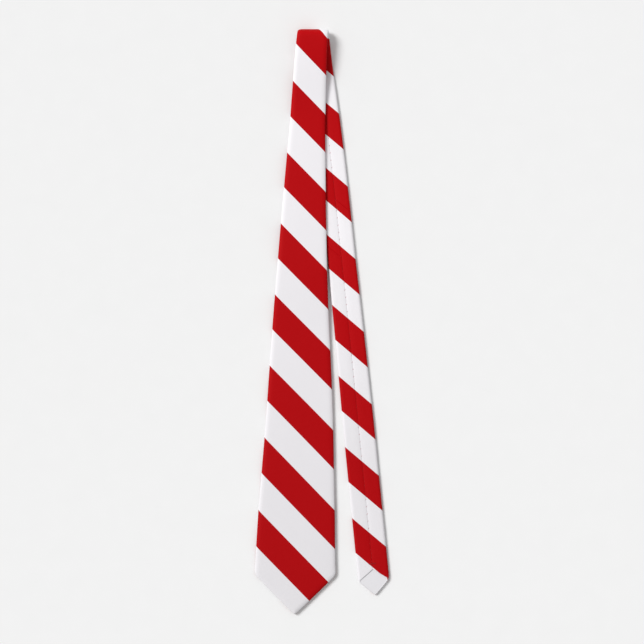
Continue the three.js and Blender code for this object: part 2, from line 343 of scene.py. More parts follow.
def rowsBetween(low, high):
    fine = shell["fineBetween"]
    reach = (-shell["bendReach"], shell["bendReach"])
    bends = [side * shell["bendAt"] + edge for side in (-1, 1) for edge in reach]
    marks = [low, high, *fine, *bends, frontFlapV - 6, frontFlapV, frontCorner, frontCorner + 6,
             tailFlapV + 6, tailFlapV, tailCorner, tailCorner - 6]
    marks = sorted({mark for mark in marks if low <= mark <= high})
    rows = [low]
    for start, end in zip(marks, marks[1:]):
        middle = (start + end) / 2
        step = shell["rowStep"]
        if fine[0] < middle < fine[1]:
            step = shell["fineStep"]
        elif abs(abs(middle) - shell["bendAt"]) < shell["bendReach"]:
            step = shell["bendStep"]
        elif middle > frontFlapV - 6 or middle < tailFlapV + 6:
            step = shell["pointStep"]
        count = max(1, round((end - start) / step))
        rows += list(np.linspace(start, end, count + 1)[1:])
    return np.array(rows)


# Rows that close in on a point: half widths shrink to nothing.
def tipRows(length, tip):
    halves = shell["tipReach"] * np.linspace(1, 0, shell["tipRows"])**1.6
    return length - np.sqrt(tip**2 + halves**2)


def seamSlant(s):
    nearest = np.minimum(abs(s - strip["frontSeamAt"]), abs(s - strip["tailSeamAt"]))
    return 1 - smooth(nearest, 0, strip["seamSpread"] * 1.1)


def levelAt(s):
    toPoint = np.minimum(frontFlapV - s, s - tailFlapV)
    return -np.tan(headingAt(s)) * np.clip(toPoint / 30, 0, 1) * (1 - seamSlant(s))


# Station rows and section columns to points; rows run level at the fold and slant along the piecing seams.
def shellGrid(rows, sink, fromFront):
    columns = section(rows[:1], fromFront)[0].shape[1]
    picked = np.tile(np.arange(columns), len(rows))
    each = np.arange(len(picked))
    station = np.repeat(rows, columns)
    slant, level = seamSlant(station), levelAt(station)
    s = station
    for _ in range(5):
        u, w, v, printedV, rubSheen = (part[each, picked] for part in section(s, fromFront))
        s = station + u * level + v * slant
    w = w * (1 - np.repeat(sink, columns))
    shape = (len(rows), columns)
    points = layPoint(u, w, s).reshape(*shape, 3)
    flat = np.stack([v, s], axis=-1).reshape(*shape, 2) * mm
    cloth = np.stack([printedV, s - printLie["stretch"] * s**2], axis=-1).reshape(*shape, 2) * mm
    return points, flat, cloth, rubSheen.reshape(shape)


def gridMesh(name, points, cloth, rubSheen, materials, outward=False):
    rows, columns = points.shape[:2]
    grid = np.arange(rows * columns).reshape(rows, columns)
    quads = np.stack([grid[:-1, :-1], grid[1:, :-1], grid[1:, 1:], grid[:-1, 1:]], axis=-1)
    quads = quads.reshape(-1, 4)
    mesh = bpy.data.meshes.new(name)
    mesh.from_pydata(points.reshape(-1, 3).tolist(), [], quads.tolist())
    layer = mesh.uv_layers.new(name="cloth")
    layer.uv.foreach_set("vector", cloth.reshape(-1, 2)[quads.reshape(-1)].ravel())
    rubSheenLayer = mesh.attributes.new("rubSheen", "FLOAT", "POINT")
    rubSheenLayer.data.foreach_set("value", rubSheen.ravel().astype(np.float32))
    shaped = bmesh.new()
    shaped.from_mesh(mesh)
    bmesh.ops.remove_doubles(shaped, verts=shaped.verts, dist=2e-6)
    if outward:
        bmesh.ops.recalc_face_normals(shaped, faces=shaped.faces)
    shaped.to_mesh(mesh)
    shaped.free()
    for material in materials:
        mesh.materials.append(material)
    piece = bpy.data.objects.new(name, mesh)
    scene.collection.objects.link(piece)
    return piece


def roundOff(mesh, sharpFrom):
    mesh.polygons.foreach_set("use_smooth", np.ones(len(mesh.polygons), bool))
    mesh.set_sharp_from_angle(angle=math.radians(sharpFrom))


def meshPiece(name, points, cloth, rubSheen, materials, thickness, offset=-1.0):
    piece = gridMesh(name, points, cloth, rubSheen, materials)
    solid = piece.modifiers.new("clothThickness", "SOLIDIFY")
    solid.thickness = thickness * mm
    solid.offset = offset
    if len(materials) > 1:
        solid.material_offset = 1
    return applied(piece)


# The modifiers' result becomes the piece's own mesh, smooth except across the cut edges.
def applied(piece):
    bpy.context.view_layer.update()
    graph = bpy.context.evaluated_depsgraph_get()
    mesh = bpy.data.meshes.new_from_object(piece.evaluated_get(graph))
    piece.modifiers.clear()
    piece.data = mesh
    roundOff(mesh, 52)
    return piece


def seamRows(rows, seamAt):
    extra = seamAt + np.sign(np.mean(rows) - seamAt) * np.array([0.0, 0.25, 0.6, 1.0, 1.5])
    return np.unique(np.concatenate([rows[abs(rows - seamAt) > 2.2], extra]))


def acrossJoint(piece):
    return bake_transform(piece)


def overFold(piece):
    at = joints["neck_fold"]
    start, end = at.copy(), at.copy()
    layer = stack["half"] * 2 + printed["foldMargin"]
    start.z, end.z = layer * mm, (stack["foldHeight"] - layer) * mm
    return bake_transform(piece)


# Shader nodes: a small helper, the shared groups, then one material for each finish.
def addNode(tree, kind, inputs=None, **settings):
    node = tree.nodes.new(kind)
    for key, value in settings.items():
        setattr(node, key, value)
    for key, value in (inputs or {}).items():
        if isinstance(value, bpy.types.NodeSocket):
            tree.links.new(value, node.inputs[key])
        else:
            node.inputs[key].default_value = value
    return node


def calculate(tree, operation, first, second=0.0, third=0.0):
    node = addNode(tree, "ShaderNodeMath", {0: first, 1: second, 2: third}, operation=operation)
    return node.outputs[0]


def newGroup(name, inputs, outputs):
    group = bpy.data.node_groups.new(name, "ShaderNodeTree")
    kinds = {"float": "NodeSocketFloat", "vector": "NodeSocketVector", "color": "NodeSocketColor"}
    for label, kind, start in inputs:
        socket = group.interface.new_socket(label, in_out="INPUT", socket_type=kinds[kind])
        if start is not None:
            socket.default_value = start
    for label, kind in outputs:
        group.interface.new_socket(label, in_out="OUTPUT", socket_type=kinds[kind])
    return group, group.nodes.new("NodeGroupInput").outputs, group.nodes.new("NodeGroupOutput").inputs


# Printed bands: a line of the cloth runs along s = lean * v + start, and a band fills its share of the pitch.
def makeStripeGroup():
    group, given, result = newGroup(
        "printedStripes",
        [("Cloth", "vector", None), ("Pitch", "float", 0.09), ("Lean", "float", 1.0),
         ("Start", "float", 0.0), ("Band Share", "float", 0.48), ("Bleed", "float", 0.0002),
         ("Ground", "color", (0.8, 0.8, 0.8, 1)), ("Band", "color", (0.4, 0.0, 0.0, 1))],
        [("Color", "color"), ("Mask", "float")])
    axes = addNode(group, "ShaderNodeSeparateXYZ", {0: given["Cloth"]}).outputs
    leaning = calculate(group, "MULTIPLY", axes["X"], given["Lean"])
    along = calculate(group, "SUBTRACT", calculate(group, "SUBTRACT", axes["Y"], leaning), given["Start"])
    threadNoise = addNode(group, "ShaderNodeTexNoise",
                          {"Vector": given["Cloth"], "Scale": 2200.0, "Detail": 1.0})
    evened = calculate(group, "SUBTRACT", threadNoise.outputs[0], 0.5)
    ragged = calculate(group, "MULTIPLY", evened, given["Bleed"])
    turns = calculate(group, "DIVIDE", calculate(group, "ADD", along, ragged), given["Pitch"])
    phase = calculate(group, "FRACT", turns)
    soft = calculate(group, "DIVIDE", given["Bleed"], given["Pitch"])
    rising = addNode(group, "ShaderNodeMapRange", {"Value": phase, "From Max": soft}).outputs[0]
    bandEnd = calculate(group, "ADD", given["Band Share"], soft)
    falling = addNode(group, "ShaderNodeMapRange", {"Value": phase, "From Min": given["Band Share"],
                                                    "From Max": bandEnd, "To Min": 1.0, "To Max": 0.0}).outputs[0]
    mask = calculate(group, "MULTIPLY", rising, falling)
    mixed = addNode(group, "ShaderNodeMix", {0: mask, 6: given["Ground"], 7: given["Band"]}, data_type="RGBA")
    group.links.new(mixed.outputs[2], result["Color"])
    group.links.new(mask, result["Mask"])
    return group


# Fine ribbed weave: slanted ribs crossed by threads, with slubs here and there.
def makeWeaveGroup():
    group, given, result = newGroup(
        "threadWeave",
        [("Cloth", "vector", None), ("Thread", "float", 0.0003), ("Rib Slant", "float", 1.0),
         ("Cross Share", "float", 0.4), ("Slub", "float", 0.3)],
        [("Height", "float")])
    axes = addNode(group, "ShaderNodeSeparateXYZ", {0: given["Cloth"]}).outputs
    slanted = calculate(group, "MULTIPLY_ADD", axes["X"], given["Rib Slant"], axes["Y"])
    perTurn = calculate(group, "DIVIDE", given["Thread"], 2 * math.pi)
    ribs = calculate(group, "SINE", calculate(group, "DIVIDE", slanted, perTurn))
    backward = calculate(group, "MULTIPLY", given["Rib Slant"], -1.0)
    crossed = calculate(group, "MULTIPLY_ADD", axes["Y"], backward, axes["X"])
    threads = calculate(group, "SINE", calculate(group, "DIVIDE", crossed, perTurn))
    slubs = addNode(group, "ShaderNodeTexNoise",
                    {"Vector": given["Cloth"], "Scale": 900.0, "Detail": 2.0}).outputs[0]
    height = calculate(group, "MULTIPLY_ADD", threads, given["Cross Share"], ribs)
    height = calculate(group, "MULTIPLY_ADD", slubs, given["Slub"], height)
    group.links.new(height, result["Height"])
    return group


# Soft unevenness of dye and pressing: a factor near 1, plus painted shade: a broad factor that darkens the cloth
# along its length toward the points, and a painted sheen, partly rub, that lightens it near the rolled edges.
def makeToneGroup():
    group, given, result = newGroup(
        "dyeTonePaintedShadeAndSheen",
        [("Color", "color", (1, 1, 1, 1)), ("Cloth", "vector", None), ("Place", "vector", None),
         ("Patch Size", "float", 0.04), ("Patch Depth", "float", 0.02), ("Painted Shade From", "float", 0.0),
         ("Painted Shade To", "float", 0.7), ("Painted Shade Depth", "float", 0.0), ("Rub Sheen", "float", 0.0),
         ("Rub Sheen Depth", "float", 0.0)],
        [("Color", "color"), ("Patch", "float")])
    scale = calculate(group, "DIVIDE", 1.0, given["Patch Size"])
    patch = addNode(group, "ShaderNodeTexNoise",
                    {"Vector": given["Place"], "Scale": scale, "Detail": 3.0}).outputs[0]
    uneven = calculate(group, "MULTIPLY", calculate(group, "SUBTRACT", patch, 0.5), given["Patch Depth"])
    axes = addNode(group, "ShaderNodeSeparateXYZ", {0: given["Cloth"]}).outputs
    run = addNode(group, "ShaderNodeMapRange", {"Value": axes["Y"], "From Min": given["Painted Shade From"],
                                                "From Max": given["Painted Shade To"]}).outputs[0]
    paintedShade = calculate(group, "MULTIPLY", run, given["Painted Shade Depth"])
    rubSheenLift = calculate(group, "MULTIPLY", given["Rub Sheen"], given["Rub Sheen Depth"])
    # Painted shade: the colour darkens along the cloth toward the points.
    factor = calculate(group, "SUBTRACT", calculate(group, "ADD", 1.0, uneven), paintedShade)
    # Painted sheen, partly rub: the colour lightens near the rolled edges.
    factor = calculate(group, "ADD", factor, rubSheenLift)
    scaled = addNode(group, "ShaderNodeVectorMath", {0: given["Color"], "Scale": factor}, operation="SCALE")
    group.links.new(scaled.outputs[0], result["Color"])
    group.links.new(patch, result["Patch"])
    return group


stripeGroup, weaveGroup, toneGroup = makeStripeGroup(), makeWeaveGroup(), makeToneGroup()


def startMaterial(name, color, roughness, specular, sheen=0.0, sheenRoughness=0.5):
    material = bpy.data.materials.new(name)
    material.use_nodes = True
    material.diffuse_color = color
    tree = material.node_tree
    surface = tree.nodes["Principled BSDF"]
    surface.inputs["Base Color"].default_value = color
    surface.inputs["Roughness"].default_value = roughness
    surface.inputs["Specular IOR Level"].default_value = specular
    surface.inputs["Sheen Weight"].default_value = sheen
    surface.inputs["Sheen Roughness"].default_value = sheenRoughness
    cloth = addNode(tree, "ShaderNodeUVMap", uv_map="cloth").outputs["UV"]
    place = addNode(tree, "ShaderNodeTexCoord").outputs["Object"]
    rubSheen = addNode(tree, "ShaderNodeAttribute", attribute_name="rubSheen").outputs["Fac"]
    return material, tree, surface, cloth, place, rubSheen


def finishMaterial(tree, surface, color, cloth, place, rubSheen, tone, weave):
    toned = addNode(tree, "ShaderNodeGroup", node_tree=toneGroup)
    sockets = {"Color": color, "Cloth": cloth, "Place": place, "Rub Sheen": rubSheen, **tone}
    for key, value in sockets.items():
        if isinstance(value, bpy.types.NodeSocket):
            tree.links.new(value, toned.inputs[key])
        else:
            toned.inputs[key].default_value = value
    tree.links.new(toned.outputs["Color"], surface.inputs["Base Color"])
    woven = addNode(tree, "ShaderNodeGroup", node_tree=weaveGroup)
    tree.links.new(cloth, woven.inputs["Cloth"])
    for key in ("Thread", "Rib Slant", "Cross Share", "Slub"):
        woven.inputs[key].default_value = weave[key]
    bump = addNode(tree, "ShaderNodeBump", {"Strength": weave["Strength"], "Distance": weave["Distance"],
                                            "Height": woven.outputs["Height"]})
    tree.links.new(bump.outputs[0], surface.inputs["Normal"])
    base = surface.inputs["Roughness"].default_value
    rough = addNode(tree, "ShaderNodeMapRange", {"Value": toned.outputs["Patch"], "From Min": 0.3, "From Max": 0.7,
                                                 "To Min": base - 0.04, "To Max": base + 0.04})
    tree.links.new(rough.outputs[0], surface.inputs["Roughness"])


satin = {
    "ground": (0.83, 0.81, 0.835, 1),
    "band": (0.435, 0.0022, 0.0042, 1),
    "reverseGround": (0.74, 0.72, 0.74, 1),
    "reverseBand": (0.5, 0.14, 0.15, 1),
    "roughness": 0.5,
    "specular": 0.045,
    "weave": {"Thread": 0.00032, "Rib Slant": 1.2, "Cross Share": 0.35, "Slub": 0.6,
              "Strength": 0.35, "Distance": 0.00004},
    "bandShare": 0.492,
    "bleed": 0.00025,
}
# Each panel was cut from the printed cloth on its own, so each has its own start, lean and pitch; each also has
# its own painted shade, a darkening of the colour toward its point over the given span and depth.
panelPrint = {
    "front": {"Pitch": 0.0908, "Lean": 1.0, "Start": 0.0859,
              "Painted Shade From": 0.0, "Painted Shade To": 0.73, "Painted Shade Depth": 0.18},
    "neck": {"Pitch": 0.09196, "Lean": 1.0, "Start": 0.0019,
             "Painted Shade From": -0.25, "Painted Shade To": 0.0, "Painted Shade Depth": 0.0},
    "tail": {"Pitch": 0.09196, "Lean": 1.0, "Start": 0.0019,
             "Painted Shade From": -0.25, "Painted Shade To": -0.55, "Painted Shade Depth": 0.13},
}


def printedCloth(name, panel, ground, band):
    made = startMaterial(name, ground, satin["roughness"], satin["specular"], sheen=0.012, sheenRoughness=0.4)
    material, tree, surface, cloth, place, rubSheen = made
    stripes = addNode(tree, "ShaderNodeGroup", node_tree=stripeGroup)
    tree.links.new(cloth, stripes.inputs["Cloth"])
    cut = panelPrint[panel]
    for key in ("Pitch", "Lean", "Start"):
        stripes.inputs[key].default_value = cut[key]
    stripes.inputs["Band Share"].default_value = satin["bandShare"]
    stripes.inputs["Bleed"].default_value = satin["bleed"]
    stripes.inputs["Ground"].default_value = ground
    stripes.inputs["Band"].default_value = band
    # Painted shade along the panel; the edges below get a painted sheen, partly rub.
    tone = {key: cut[key] for key in ("Painted Shade From", "Painted Shade To", "Painted Shade Depth")}
    tone.update({"Patch Size": 0.05, "Patch Depth": 0.025, "Rub Sheen Depth": 0.03})
    finishMaterial(tree, surface, stripes.outputs["Color"], cloth, place, rubSheen, tone, satin["weave"])
    return material


def plainCloth(name, color, roughness, specular, patchDepth, weave):
    made = startMaterial(name, color, roughness, specular, sheen=0.08)
    material, tree, surface, cloth, place, rubSheen = made
    tone = {"Patch Size": 0.012, "Patch Depth": patchDepth, "Rub Sheen Depth": 0.0}
    finishMaterial(tree, surface, color, cloth, place, rubSheen, tone, weave)
    return material


def panelMaterials(panel):
    return [printedCloth(panel + "Print", panel, satin["ground"], satin["band"]),
            printedCloth(panel + "PrintReverse", panel, satin["reverseGround"], satin["reverseBand"])]


frontMaterials, neckMaterials, tailMaterials = map(panelMaterials, ("front", "neck", "tail"))
canvasMaterial = plainCloth("interliningCanvas", (0.68, 0.63, 0.54, 1), 0.9, 0.1, 0.12, {
    "Thread": 0.0012, "Rib Slant": 0.0, "Cross Share": 1.0, "Slub": 1.5, "Strength": 0.9, "Distance": 0.0002})
tippingMaterial = plainCloth("tippingSatin", (0.70, 0.69, 0.71, 1), 0.42, 0.2, 0.03, {
    "Thread": 0.00025, "Rib Slant": 0.6, "Cross Share": 0.5, "Slub": 0.4,
    "Strength": 0.3, "Distance": 0.00003})
labelMaterial = plainCloth("labelWeave", (0.80, 0.80, 0.78, 1), 0.6, 0.2, 0.03, {
    "Thread": 0.0005, "Rib Slant": 0.0, "Cross Share": 0.8, "Slub": 0.3,
    "Strength": 0.6, "Distance": 0.00006})
threadMaterial = plainCloth("redThread", (0.38, 0.004, 0.006, 1), 0.6, 0.1, 0.1, {
    "Thread": 0.0004, "Rib Slant": 1.0, "Cross Share": 0.2, "Slub": 0.4,
    "Strength": 0.8, "Distance": 0.00005})
print("materials made")


camera = bpy.data.objects.new("camera", bpy.data.cameras.new("camera"))
scene.collection.objects.link(camera)
scene.camera = camera
view = {"lens": 150.0, "sensor": 36.0, "frameWidth": 0.7986, "x": -0.0011, "y": -0.0006}
camera.data.lens = view["lens"]
camera.data.sensor_width = view["sensor"]
camera.location = (view["x"], view["y"], view["frameWidth"] * view["lens"] / view["sensor"])
camera.data.clip_end = 50.0


def declared(piece):
    return piece


# Printed shells: front blade, the front panel's end over the neck fold, neck panel, tail panel.
printed = {"foldCut": 25.0, "foldMargin": 0.9, "frontBendSpread": 16.0, "tailBendSpread": 14.0}
frontTipRows = tipRows(strip["frontLength"], strip["frontTip"])
tailTipRows = -tipRows(strip["tailLength"], strip["tailTip"])[::-1]
panelRows = {
    "frontBlade": np.concatenate([rowsBetween(printed["foldCut"], frontTipRows[0])[:-1], frontTipRows]),
    "frontNeckFold": seamRows(rowsBetween(strip["frontSeamAt"], printed["foldCut"]), strip["frontSeamAt"]),
    "neckPanel": seamRows(seamRows(rowsBetween(strip["tailSeamAt"], strip["frontSeamAt"]),
                                   strip["frontSeamAt"]), strip["tailSeamAt"]),
    "tailPanel": np.concatenate([tailTipRows, seamRows(rowsBetween(tailTipRows[-1], strip["tailSeamAt"]),
                                                       strip["tailSeamAt"])[1:]]),
}


def makePanel(name, materials, seams, nodes):
    rows = panelRows[name]
    sink = np.zeros(len(rows))
    for seamAt in seams:
        near = np.clip(1 - abs(rows - seamAt) / shell["seamRound"], 0, 1)
        sink = np.maximum(sink, shell["seamSink"] * near**2)
    points, flat, cloth, rubSheen = shellGrid(rows, sink, name.startswith("front"))
    piece = meshPiece(name, points, cloth, rubSheen, materials, shell["cloth"])
    declared(piece)
    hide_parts(*nodes)
    return piece


tailPanel = makePanel("tailPanel", tailMaterials, [strip["tailSeamAt"]],
                  ["tail_panel_upper", "tail_panel_lower"])
acrossJoint(tailPanel)
neckPanel = makePanel("neckPanel", neckMaterials, [strip["tailSeamAt"], strip["frontSeamAt"]],
                  ["neck_panel"])
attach(neckPanel, "tail_upper")
frontNeckFold = makePanel("frontNeckFold", frontMaterials, [strip["frontSeamAt"]],
                      ["front_panel_end"])
overFold(frontNeckFold)
frontBlade = makePanel("frontBlade", frontMaterials, [],
                   ["front_panel_upper", "front_panel_lower"])
acrossJoint(frontBlade)
print("printed shells made")

# Interlining inside the shell from edge to edge, and tipping over it at both points.
inner = {"inset": 1.9, "columns": 17, "rowStep": 6.0, "w": 0.4, "thickness": 1.0, "seamAt": -60.0,
         "tippingW": -0.97, "tippingThickness": 0.24, "tippingInset": 1.15, "riseFront": 62.0,
         "riseTail": 40.0, "wrinkle": 0.06}


def layerGrid(rows, inset, w, wrinkle=0.0):
    across = np.linspace(-1, 1, inner["columns"])[None, :]
    stations = np.repeat(rows, inner["columns"]).reshape(len(rows), -1)
    s = stations
    for _ in range(4):
        half = halfWidthAt(s)
        u = across * (half - np.minimum(inset, 0.6 * half))
        s = stations + u * levelAt(stations)
    height = w + wrinkle * np.sin(u / 5 + s / 7) * np.sin(s / 11 - u / 9) + 0 * u
    return layPoint(u, height, s), np.stack([u, s], axis=-1) * mm, 0 * u


def layer(name, rows, inset, w, thickness, material, slot, nodes, restsOn, wrinkle=0.0):
    points, cloth, rubSheen = layerGrid(rows, inset, w, wrinkle)
    piece = meshPiece(name, points, cloth, rubSheen, [material], thickness, offset=0.0)
    declared(piece)
    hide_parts(*nodes)
    return piece


def evenRows(low, high, step):
    return np.linspace(low, high, max(2, round((high - low) / step) + 1))


canvas = (inner["inset"], inner["w"], inner["thickness"], canvasMaterial, "interlining")
frontCanvasRows = np.concatenate([rowsBetween(printed["foldCut"], frontTipRows[0])[:-1], frontTipRows[:-3]])
tailCanvasRows = np.concatenate([tailTipRows[3:-1], rowsBetween(tailTipRows[-1], inner["seamAt"])])
foldCanvasRows = evenRows(inner["seamAt"], printed["foldCut"], 1.1)
interliningFront = layer("interliningFront", frontCanvasRows, *canvas,
                         ["interlining_front_upper", "interlining_front_lower"], ["frontBlade"])
acrossJoint(interliningFront)
interliningFold = layer("interliningFold", foldCanvasRows, *canvas, ["interlining_tail_upper"],
                        ["frontNeckFold"])
overFold(interliningFold)
interliningTail = layer("interliningTail", tailCanvasRows, *canvas,
                        ["interlining_tail_upper", "interlining_tail_lower"], ["tailPanel"])
acrossJoint(interliningTail)

lined = (inner["tippingInset"], inner["tippingW"], inner["tippingThickness"], tippingMaterial, "tipping")
frontTippingRows = np.concatenate([evenRows(frontCorner - inner["riseFront"], frontTipRows[0], 2.0)[:-1],
                                   frontTipRows[:-1]])
tailTippingRows = np.concatenate([tailTipRows[1:-1],
                                  evenRows(tailTipRows[-1], tailCorner + inner["riseTail"], 2.0)])
frontTipping = layer("frontTipping", frontTippingRows, *lined, ["front_tipping"], ["interliningFront"],
                     wrinkle=inner["wrinkle"])
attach(frontTipping, "front_lower")
tailTipping = layer("tailTipping", tailTippingRows, *lined, ["tail_tipping"], ["interliningTail"],
                    wrinkle=inner["wrinkle"])
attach(tailTipping, "tail_lower")
print("interlining and tipping made")


# Threads: round tubes along lines given in strip coordinates.
def threadPiece(name, lines, radius, nodes, sides=6):
    vertices, faces, cloth = [], [], []
    for line in lines:
        points = layPoint(*np.array(line, float).T)
        along = np.gradient(points, axis=0)
        along /= np.linalg.norm(along, axis=1)[:, None] + 1e-12
        side = np.cross(along, np.where(abs(along[:, 2:]) > 0.9, [[0.0, 1.0, 0.0]], [[0.0, 0.0, 1.0]]))
        side /= np.linalg.norm(side, axis=1)[:, None] + 1e-12
        up = np.cross(side, along)
        turn = np.arange(sides) * 2 * math.pi / sides
        ring = side[:, None] * np.cos(turn)[None, :, None] + up[:, None] * np.sin(turn)[None, :, None]
        first = len(vertices)
        vertices += (points[:, None] + ring * radius * mm).reshape(-1, 3).tolist()
        run = np.concatenate([[0], np.cumsum(np.linalg.norm(np.diff(points, axis=0), axis=1))])
        cloth += [(turn[j] * radius * mm, run[i]) for i in range(len(points)) for j in range(sides)]
        for i in range(len(points) - 1):
            for j in range(sides):
                a, b = first + i * sides + j, first + i * sides + (j + 1) % sides
                faces.append((a, b, b + sides, a + sides))
        last = first + (len(points) - 1) * sides
        faces.append(tuple(range(first + sides - 1, first - 1, -1)))
        faces.append(tuple(range(last, last + sides)))
    mesh = bpy.data.meshes.new(name)
    mesh.from_pydata(vertices, [], faces)
    layer = mesh.uv_layers.new(name="cloth")
    corners = np.array([cloth[loop.vertex_index] for loop in mesh.loops])
    layer.uv.foreach_set("vector", corners.ravel())
    mesh.polygons.foreach_set("use_smooth", np.ones(len(mesh.polygons), bool))
    mesh.set_sharp_from_angle(angle=math.radians(65))
    mesh.materials.append(threadMaterial)
    piece = bpy.data.objects.new(name, mesh)
    scene.collection.objects.link(piece)
    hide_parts(*nodes)
    return piece


sewing = {"slipStep": 9.0, "slipRadius": 0.15, "slipOut": 0.02, "tackWraps": 25, "tackWidth": 8.0,
          "tackLength": 1.6, "tackRadius": 0.17, "tackHigh": 0.34, "tackAbove": 7.0,
          "seamStitch": 2.4, "seamThread": 0.12, "seed": 7}
shuffle = np.random.default_rng(sewing["seed"])


# One long loose stitch line that catches both flaps and runs hidden between them.
def slipLine(low, high):
    outside = -stack["half"] + shell["valley"] - sewing["slipOut"]
    points = []
    for s in np.arange(low + 1, high - sewing["slipStep"], sewing["slipStep"]):
        points += [(-0.95, outside + 0.25, s), (-0.6, outside, s + 0.25), (0.0, outside - 0.05, s + 0.8),
                   (0.6, outside, s + 1.35), (0.95, outside + 0.25, s + 1.6), (0.5, outside + 0.75, s + 2.6),
                   (0.0, outside + 0.95, s + 4.5), (-0.5, outside + 0.8, s + 7.6)]
    return [points]


slip = sewing["slipRadius"]
slipFront = threadPiece("slipStitchFront", slipLine(printed["foldCut"], frontFlapV - 4), slip,
                        ["slip_stitch_front_upper", "slip_stitch_front_lower"])
acrossJoint(slipFront)
slipFold = threadPiece("slipStitchFold", slipLine(inner["seamAt"], printed["foldCut"] + 6), slip,
                       ["slip_stitch_tail_upper"])
overFold(slipFold)
slipTail = threadPiece("slipStitchTail", slipLine(tailFlapV + 4, inner["seamAt"] + 6), slip,
                       ["slip_stitch_tail_upper", "slip_stitch_tail_lower"])
acrossJoint(slipTail)


# Close thread wraps over a short bar, across or along the strip.
def tackLines(u, w, s, length, wide, acrossStrip=True):
    lines = []
    for i in range(sewing["tackWraps"]):
        at = (i / (sewing["tackWraps"] - 1) - 0.5) * length
        ends = 0.5 * wide + shuffle.uniform(-0.1, 0.1, 2)
        lean = shuffle.uniform(-0.08, 0.08)
        line = []
        for step in np.linspace(0, 1, 7):
            over = -ends[0] + (ends[0] + ends[1]) * step
            high = w - sewing["tackHigh"] * math.sin(math.pi * step)
            along = at + lean * step
            line.append((u + along, high, s + over) if acrossStrip else (u + over, high, s + along))
        lines.append(line)
    return lines


backSide = -stack["half"]
tackAt = {"front": frontFlapV - sewing["tackAbove"], "tail": tailFlapV + sewing["tackAbove"]}
for end, node in (("front", "bar_tack_front"), ("tail", "bar_tack_tail")):
    valleyed = backSide + shell["valley"] * 0.2
    lines = tackLines(0, valleyed + 0.05, tackAt[end], sewing["tackWidth"], sewing["tackLength"])
    tack = threadPiece("barTack" + end.capitalize(), lines, sewing["tackRadius"], [node])
    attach(tack, end + "_lower")


# Small stitches that show in the slanted piecing seams.
def piecingLines(seamAt):
    half = float(halfWidthAt(np.array([seamAt]))[0]) - 2.5
    high = stack["half"] * (1 - shell["seamSink"]) - 0.02
    lines = []
    for u in np.arange(-half, half, sewing["seamStitch"]):
        ends = (u, u + sewing["seamStitch"] * 0.72)
        line = [(x, high - 0.16 * (2 * t - 1)**2 - shell["crown"] * (x / half)**2, seamAt + x)
                for t, x in zip((0, 0.25, 0.5, 0.75, 1), np.linspace(*ends, 5))]
        lines.append(line)
    return lines


for name, seamAt, node in (("piecingStitchFront", strip["frontSeamAt"], "piecing_seam_front"),
                           ("piecingStitchTail", strip["tailSeamAt"], "piecing_seam_tail")):
    stitches = threadPiece(name, piecingLines(seamAt), sewing["seamThread"], [node], sides=5)
    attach(stitches, "tail_upper")
print("stitching made")

# Keeper loop of the same cloth, in two halves that meet at its middle, and its bar tacks.
keeper = {"fromPoint": 226.0, "width": 12.0, "half": 22.0, "tab": 7.3, "thick": 0.62, "off": 0.32,
          "columns": 18, "tackAt": 30.4, "stitchIn": 1.3, "stitchLong": 2.2, "stitchGap": 0.9,
          "thread": 0.11}
keeperAt = strip["frontLength"] - keeper["fromPoint"]


def keeperHeight(u):
    sewn = smooth(abs(u), keeper["half"] - 3, keeper["half"] + 4)
    return backSide - 0.06 - keeper["off"] * (1 - sewn) - keeper["thick"] / 2


def keeperHalf(name, side, nodes):
    u = side * np.linspace(0, keeper["half"] + keeper["tab"], 27)[::int(-side)]
    around = np.linspace(0, 2 * math.pi, keeper["columns"] + 1)
    power = 0.22
    sRing = keeper["width"] / 2 * np.sign(np.cos(around)) * abs(np.cos(around))**power
    wRing = keeper["thick"] / 2 * np.sign(np.sin(around)) * abs(np.sin(around))**0.7
    uGrid = np.repeat(u[:, None], len(around), axis=1)
    w = keeperHeight(uGrid) + wRing[None, :]
    s = keeperAt + np.repeat(sRing[None, :], len(u), axis=0)
    points = layPoint(uGrid, w, s)
    ease = np.cumsum(np.concatenate([[0], np.hypot(np.diff(sRing), np.diff(wRing))]))
    cloth = np.stack([np.repeat(ease[None, :], len(u), axis=0), uGrid + 12], axis=-1) * mm
    # A little of the edges' rub and painted sheen lies over the whole keeper.
    piece = gridMesh(name, points, cloth, 0 * uGrid + 0.2, frontMaterials[:1], outward=True)
    roundOff(piece.data, 60)
    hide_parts(*nodes)
    declared(piece)
    raised = layPoint(0.0, keeperHeight(0.0), keeperAt)
    sewn = layPoint(side * keeper["half"], keeperHeight(keeper["half"]), keeperAt)
    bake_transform(piece)
    return sewn, raised


def keeperStitches(name, side):
    lines = []
    pitch = keeper["stitchLong"] + keeper["stitchGap"]
    for edge in (-1, 1):
        s = keeperAt + edge * (keeper["width"] / 2 - keeper["stitchIn"])
        for start in np.arange(0.5, keeper["half"] + keeper["tab"] - 3, pitch):
            at = side * (start + np.linspace(0, keeper["stitchLong"], 5))
            dip = 0.14 * np.array([1, 0.2, 0, 0.2, 1])
            lines.append([(u, keeperHeight(u) - keeper["thick"] / 2 - 0.04 + d, s) for u, d in zip(at, dip)])
    piece = threadPiece(name, lines, keeper["thread"], [], sides=5)
    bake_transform(piece)


